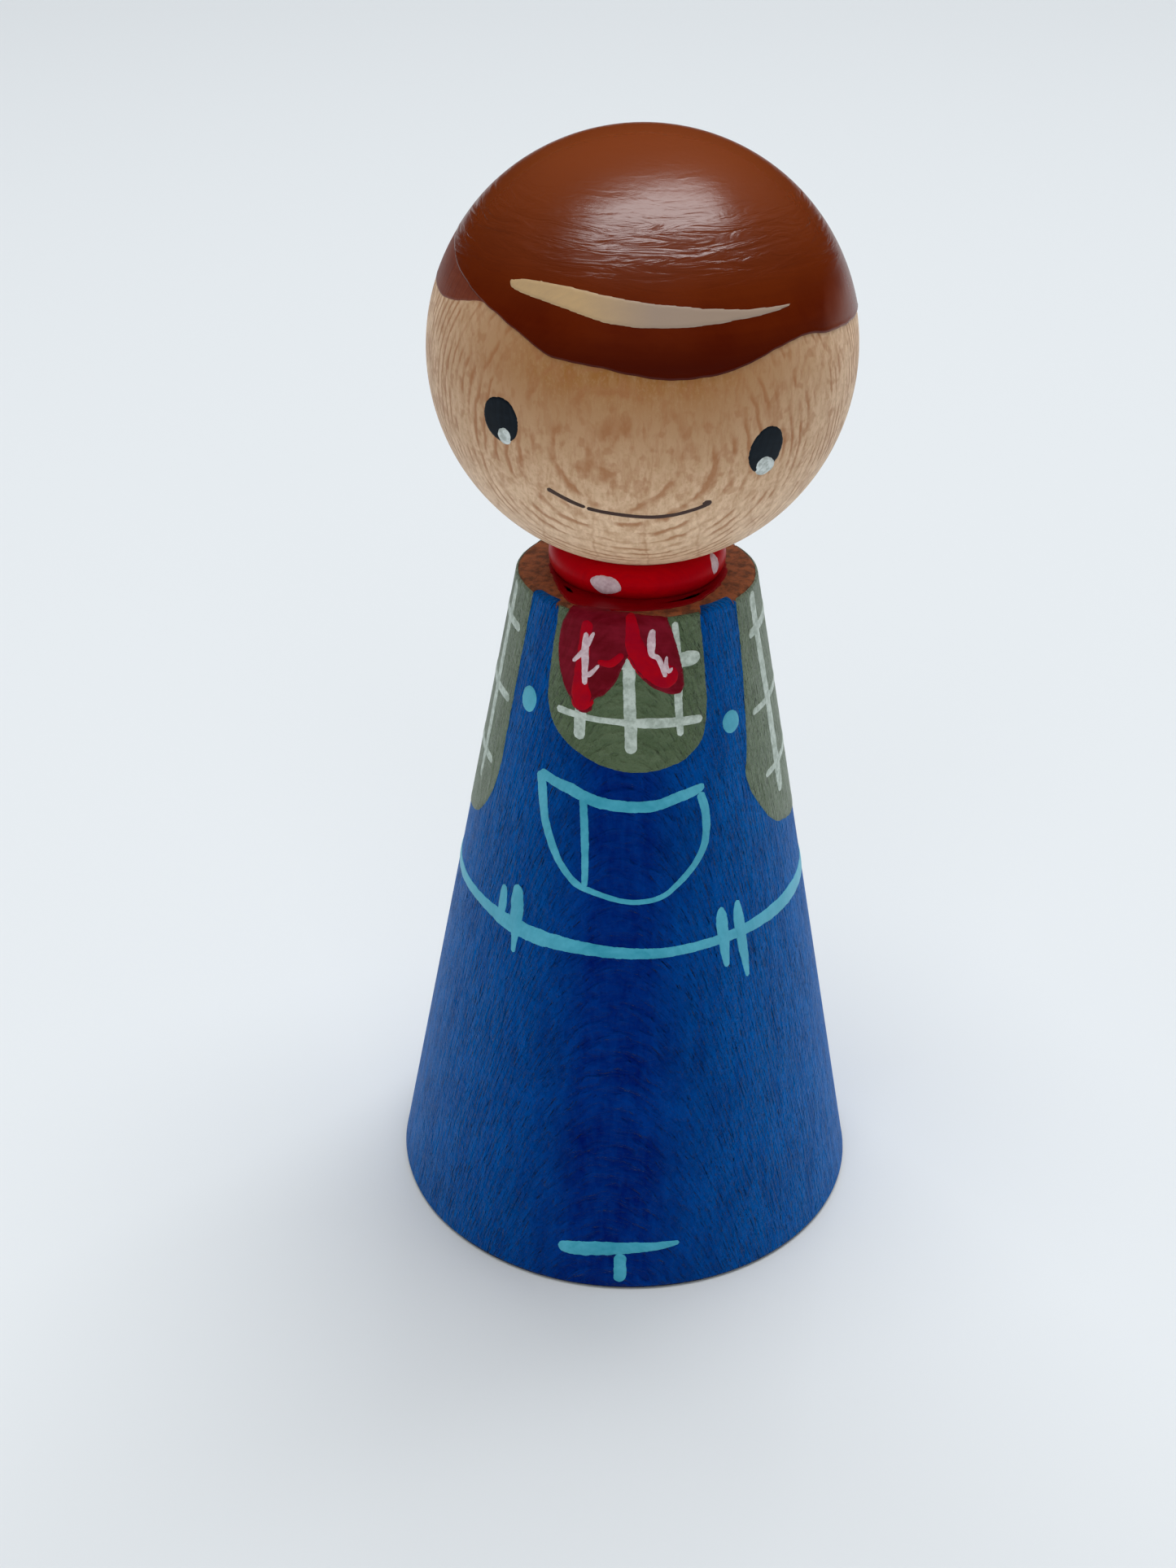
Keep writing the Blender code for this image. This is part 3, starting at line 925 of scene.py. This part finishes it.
teal_stroke("leg_seam_level", [(-12.8, 3.55, 0.8), (-9.5, 3.5, 1.25), (-3, 3.75, 1.3), (5, 3.95, 1.05),
                               (12, 4.05, 0.75), (17.3, 4.2, 0.4)], 84)
teal_stroke("leg_seam_upright", [(2.6, 3.4, 1.0), (2.7, 1.9, 1.05), (2.6, 0.75, 1.15)], 85, 0.01)


# ---------------- neckerchief

POOL_RADII = [(-170, 7.1), (-130, 7.0), (-100, 6.85), (-80, 6.8), (-62, 6.95), (-48, 7.6), (-38, 8.3),
              (-28, 8.7), (-14, 8.6), (0, 8.45), (14, 8.3), (28, 8.1), (42, 7.8), (56, 7.4), (72, 7.05),
              (100, 6.95), (130, 7.1), (160, 7.2)]

TOP_SPAN = RIM + body_surface.centre_r


def reach_of(points):
    """Where on the flat top a coat ends, as v, from (u, radius) points round the doll."""
    radius = round_line(points)
    return lambda u: TOP_SPAN - radius(u) - 0.12 * wobble(u * 0.11, 3.0) - 0.07 * wobble(u * 0.4, 7.0)


pool_edge = reach_of(POOL_RADII)
# Red paint spilt on the shoulder; its darker red is painted shade under the head.
band("neck_paint", body_surface, pool_edge, lambda u: TOP_SPAN - 6.3, shaded_pool_red, 0.0, 0.07,
     240, 8)

tails = [
    [(-28.5, RIM - 0.1), (-31.6, 55.6), (-32.4, 54.2), (-31.5, 52.9), (-28, 51.1), (-23.5, 50.0),
     (-20.8, 49.2)],
    [(-20.8, 49.2), (-17.5, 49.1), (-14.0, 49.4)],
    [(-14.0, 49.4), (-13.2, 50.3), (-9.5, 50.7), (-5, 51.7), (-1.8, 53.0), (-0.3, 53.7)],
    [(-0.3, 53.7), (2.2, 53.0), (6, 52.1), (11, 51.4), (17, 50.9), (22, 50.8), (24.2, 51.4)],
    [(24.2, 51.4), (23.7, 52.7), (21.8, 54.3), (19.6, 55.6), (17.5, RIM_IN - 0.05)],
    [(17.5, RIM_IN - 0.05), (8, RIM - 0.2), (-4, RIM + 0.05), (-18, RIM + 0.2), (-28.5, RIM - 0.1)],
]
patch("neckerchief_tails", body_surface, tails, crimson, SCARF_LIFT, SCARF_COAT, 7.0,
      0.05, 0.4)
STREAK_LIFT = SCARF_LIFT + SCARF_COAT - 0.01


def scarf_stroke(name, path, material, lift, seed):
    """One stroke on the neckerchief's tails."""
    stroke(name, body_surface, path, material, lift, 0.035, seed, 0.14)


STREAKS = {
    "streak_left": [(-18.6, 56.2, 0.9), (-19.4, 54.0, 1.0), (-19.6, 51.8, 1.2), (-18.9, 50.5, 1.7),
        (-18.0, 49.75, 1.75), (-17.2, 49.3, 1.2)],
    "streak_level": [(-13, 53.2, 0.4), (-7, 53.2, 0.6), (-2, 54.0, 0.5)],
    "streak_right": [(0.6, 57.0, 0.6), (1.4, 55.9, 1.0), (2.4, 54.9, 1.3), (4.8, 53.8, 1.6),
        (10, 52.8, 1.7), (16, 52.3, 1.9), (21.4, 52.4, 1.6)],
}
for seed, (name, path) in enumerate(STREAKS.items(), 90):
    scarf_stroke(name, path, scarlet, STREAK_LIFT, seed)
DAB_LIFT = STREAK_LIFT + 0.03
SCRIBBLES = {
    "scribble_left_stem": [(-18.8, 55.3, 0.4), (-18.8, 54.0, 0.62), (-18.2, 52.6, 0.5), (-17.7, 51.3, 0.4)],
    "scribble_left_arm": [(-19.2, 53.9, 0.4), (-21.5, 53.4, 0.35), (-24, 52.9, 0.25)],
    "scribble_left_top": [(-18.2, 54.2, 0.4), (-16.6, 54.9, 0.35), (-15.2, 55.4, 0.2)],
    "scribble_left_foot": [(-17.6, 52.0, 0.4), (-15.2, 52.3, 0.36), (-12.0, 53.0, 0.2)],
    "scribble_right_stem": [(10.6, 55.9, 0.4), (10.0, 54.9, 0.66), (10.2, 54.0, 0.45), (13.2, 53.6, 0.4),
        (16.0, 52.2, 0.36)],
    "scribble_right_arm": [(16.6, 53.8, 0.2), (16.2, 53.1, 0.34), (17.4, 52.6, 0.3), (19, 52.9, 0.2)],
}
for seed, (name, path) in enumerate(SCRIBBLES.items(), 93):
    over = 0.0 if name.endswith("stem") else 0.004
    scarf_stroke(name, path, dab_white, DAB_LIFT + over, seed)

def collar_dab(name, u, v, width, height, seed, ragged=0.16, lean=0.0):
    """One pale dab on the red collar."""
    dot(name, collar_surface, u, v, width, height, dab_white, 0.0, DAB_COAT, seed, ragged,
        lean)


collar_dab("collar_dab_front", -17.0, -3, 2.6, 1.6, 8.0)
collar_dab("collar_dab_right", 64.0, 20, 1.1, 1.75, 9.0, 0.08, -0.2)
collar_dab("collar_dab_back_right", 143.0, 0, 1.8, 1.1, 10.0)
collar_dab("collar_dab_back_left", -112.0, 5, 1.9, 1.1, 12.0)


# ---------------- hair and face

# From the left temple on, the top coat ends COAT_GAP degrees below the undercoat.
FRINGE = [(-28, 17.2), (-21, 14.0), (-16, 13.3), (-7, 12.4), (1, 11.0), (8, 10.1), (15.5, 10.0), (23, 10.7),
          (30.5, 12.4), (38, 14.5), (45.5, 16.0), (51, 16.3), (58, 15.1), (68, 14.4), (80, 13.8), (92, 13.0),
          (106, 6.0), (122, -8.0), (145, -19.0), (180, -23.0)]
COAT_GAP = 0.3
hairline = round_line([(-145, -18.0), (-122, -5.0), (-105, 10.0), (-90, 18.8), (-77, 19.4), (-67, 19.0),
                       (-58, 20.0), (-51, 21.5), (-46, 22.5), (-41, 21.9), (-36, 20.4)] + FRINGE)
coat_edge = round_line([(-145, -16.3), (-122, 6.0), (-105, 25.0), (-92, 32.0), (-82, 31.5), (-74, 30.5),
                        (-68, 29.0), (-62, 27.4), (-56, 26.0), (-50, 24.2), (-43, 22.2), (-36, 20.0)]
                       + [(u, v - COAT_GAP) for u, v in FRINGE])


def coat_thickness(u, d):
    """The top coat thins to a quarter along its edge over the left ear."""
    near_ear = min(1.0, max(0.0, (22.0 - abs(u + 78.0)) / 10.0))
    return HAIR_COAT * (1.0 - 0.75 * near_ear * np.clip(1.0 - d / 5.0, 0.0, 1.0))


def unsteady(line):
    """The same edge as a brush leaves it."""
    return lambda u: line(u) + 0.22 * wobble(u * 0.25, 5.0)


band("hair_undercoat", ball_surface, unsteady(hairline), None, hair_thin, 0.0, HAIR_UNDERCOAT,
     360, 40, True)
band("hair_coat", ball_surface, unsteady(coat_edge), None, hair_brown, HAIR_UNDERCOAT, coat_thickness,
     360, 48, True)
PARTING_LIFT = HAIR_UNDERCOAT + HAIR_COAT
parting = [
    [(-37.2, 29.8), (-30, 30.7), (-20, 30.6), (-7, 29.2), (3, 27.9), (13, 26.9), (23, 25.8), (33, 24.9),
     (49.8, 24.2)],
    [(49.8, 24.2), (38, 23.1), (28, 22.5), (18, 21.9), (8, 21.7), (-2, 22.1), (-9.5, 23.2), (-17, 24.9),
     (-24.5, 26.1), (-32, 27.1), (-36.0, 28.0), (-37.2, 29.8)],
]
patch("parting_stroke", ball_surface, parting, parting_tan, PARTING_LIFT, PARTING_COAT, 13.0,
      0.05)


def face_dot(name, u, v, width, height, material, lift, seed, ragged, lean=0.0, thick=FACE_COAT):
    """One dab of paint or ink on the face."""
    dot(name, ball_surface, u, v, width, height, material, lift, thick, seed, ragged, lean)


def mouth_line(name, path, seed):
    """One pen stroke of the mouth."""
    stroke(name, ball_surface, path, ink, 0.0, INK_COAT, seed, 0.08)


face_dot("eye_left", -34.3, -4.6, 3.15, 3.35, eye_black, 0.0, 14.0, 0.05, 0.05)
face_dot("eye_right", 36.8, -10.7, 2.85, 3.6, eye_black, 0.0, 15.0, 0.05, -0.1)
face_dot("eye_glint_left", -33.4, -8.7, 1.2, 1.3, eye_white, FACE_COAT, 16.0, 0.08)
face_dot("eye_glint_right", 37.4, -15.4, 1.65, 1.5, eye_white, FACE_COAT, 17.0, 0.1)
mouth_line("mouth_left", [(-22.6, -21.9, 0.42), (-20, -23.2, 0.36), (-16, -25.1, 0.38),
                          (-12.0, -26.6, 0.34)], 99)
mouth_line("mouth_right", [(-11.7, -26.8, 0.36), (-5.8, -27.8, 0.36), (5.5, -28.9, 0.38),
                           (13, -28.3, 0.36), (19.3, -26.6, 0.34), (22.4, -25.3, 0.4)], 100)
face_dot("mouth_end", 22.3, -24.9, 0.75, 0.7, ink, 0.0, 18.0, 0.03, thick=0.03)


# ---------------- stage

floor_material = bpy.data.materials.new("pale_floor")
floor_material.use_nodes = True
floor_shader = floor_material.node_tree.nodes["Principled BSDF"]
floor_shader.inputs["Base Color"].default_value = (0.75, 0.775, 0.79, 1.0)
floor_shader.inputs["Roughness"].default_value = 0.8
floor_shader.inputs["Specular IOR Level"].default_value = 0.1
floor_mesh = bpy.data.meshes.new("floor")
reach = 2.0
floor_mesh.from_pydata([(-reach, -reach, 0), (reach, -reach, 0), (reach, reach, 0), (-reach, reach, 0)], [],
                       [(0, 1, 2, 3)])
floor_mesh.materials.append(floor_material)
floor = bpy.data.objects.new("floor", floor_mesh)
bpy.context.scene.collection.objects.link(floor)


def area_light(name, place, target, size, radiance, colour, in_gloss=False):
    """A rectangle of light aimed at a target; only one that is in_gloss shows in reflections."""
    light = bpy.data.lights.new(name, "AREA")
    light.shape = "RECTANGLE"
    light.size, light.size_y = size
    light.energy = radiance * math.pi * size[0] * size[1]
    light.color = colour
    lamp = bpy.data.objects.new(name, light)
    lamp.location = place
    lamp.rotation_euler = (Vector(target) - Vector(place)).to_track_quat("-Z", "Y").to_euler()
    lamp.visible_glossy = in_gloss
    bpy.context.scene.collection.objects.link(lamp)


SKY_WHITE = (0.96, 0.98, 1.0)
DOLL_MIDDLE = (0.0, 0.0, 0.05)
area_light("ceiling_window", (0.06, 0.03, 1.2), (0.0, 0.0, 0.08), (0.5, 1.15), 4.4, SKY_WHITE, True)
area_light("back_right", (1.6, 3.44, 2.32), DOLL_MIDDLE, (3.5, 2.4), 3.3, SKY_WHITE)
area_light("back_left", (-1.3, 3.44, 2.16), DOLL_MIDDLE, (3.2, 2.4), 2.3, SKY_WHITE)
area_light("front_fill", (0.0, -1.25, 0.9), DOLL_MIDDLE, (1.5, 1.0), 1.1, (1.0, 0.99, 0.97))

world = bpy.data.worlds.new("room")
world.use_nodes = True
world.node_tree.nodes["Background"].inputs["Color"].default_value = (0.92, 0.96, 1.0, 1.0)
world.node_tree.nodes["Background"].inputs["Strength"].default_value = 0.22
bpy.context.scene.world = world
world.cycles_visibility.glossy = False

# The camera looks down on the doll from in front, a little to its left.
CAMERA_PLACE = Vector((0.0073, -0.1398, 0.1174))
CAMERA_TURN = math.radians(-4.485)
CAMERA_TILT = math.radians(29.83)
CAMERA_ROLL = math.radians(0.547)
CAMERA_LENS = 44.58
ahead = Vector((math.sin(CAMERA_TURN) * math.cos(CAMERA_TILT),
                math.cos(CAMERA_TURN) * math.cos(CAMERA_TILT), -math.sin(CAMERA_TILT)))
level = Vector((math.cos(CAMERA_TURN), -math.sin(CAMERA_TURN), 0.0))
upright = level.cross(ahead)
right_side = level * math.cos(CAMERA_ROLL) + upright * math.sin(CAMERA_ROLL)
top_side = upright * math.cos(CAMERA_ROLL) - level * math.sin(CAMERA_ROLL)
camera_data = bpy.data.cameras.new("camera")
camera_data.lens = CAMERA_LENS
camera_data.clip_start = 0.005
camera = bpy.data.objects.new("camera", camera_data)
bpy.context.scene.collection.objects.link(camera)
camera_axes = Matrix((right_side, top_side, -ahead)).transposed().to_4x4()
camera.matrix_world = Matrix.Translation(CAMERA_PLACE) @ camera_axes
bpy.context.scene.camera = camera
bpy.context.scene.view_settings.view_transform = "Standard"
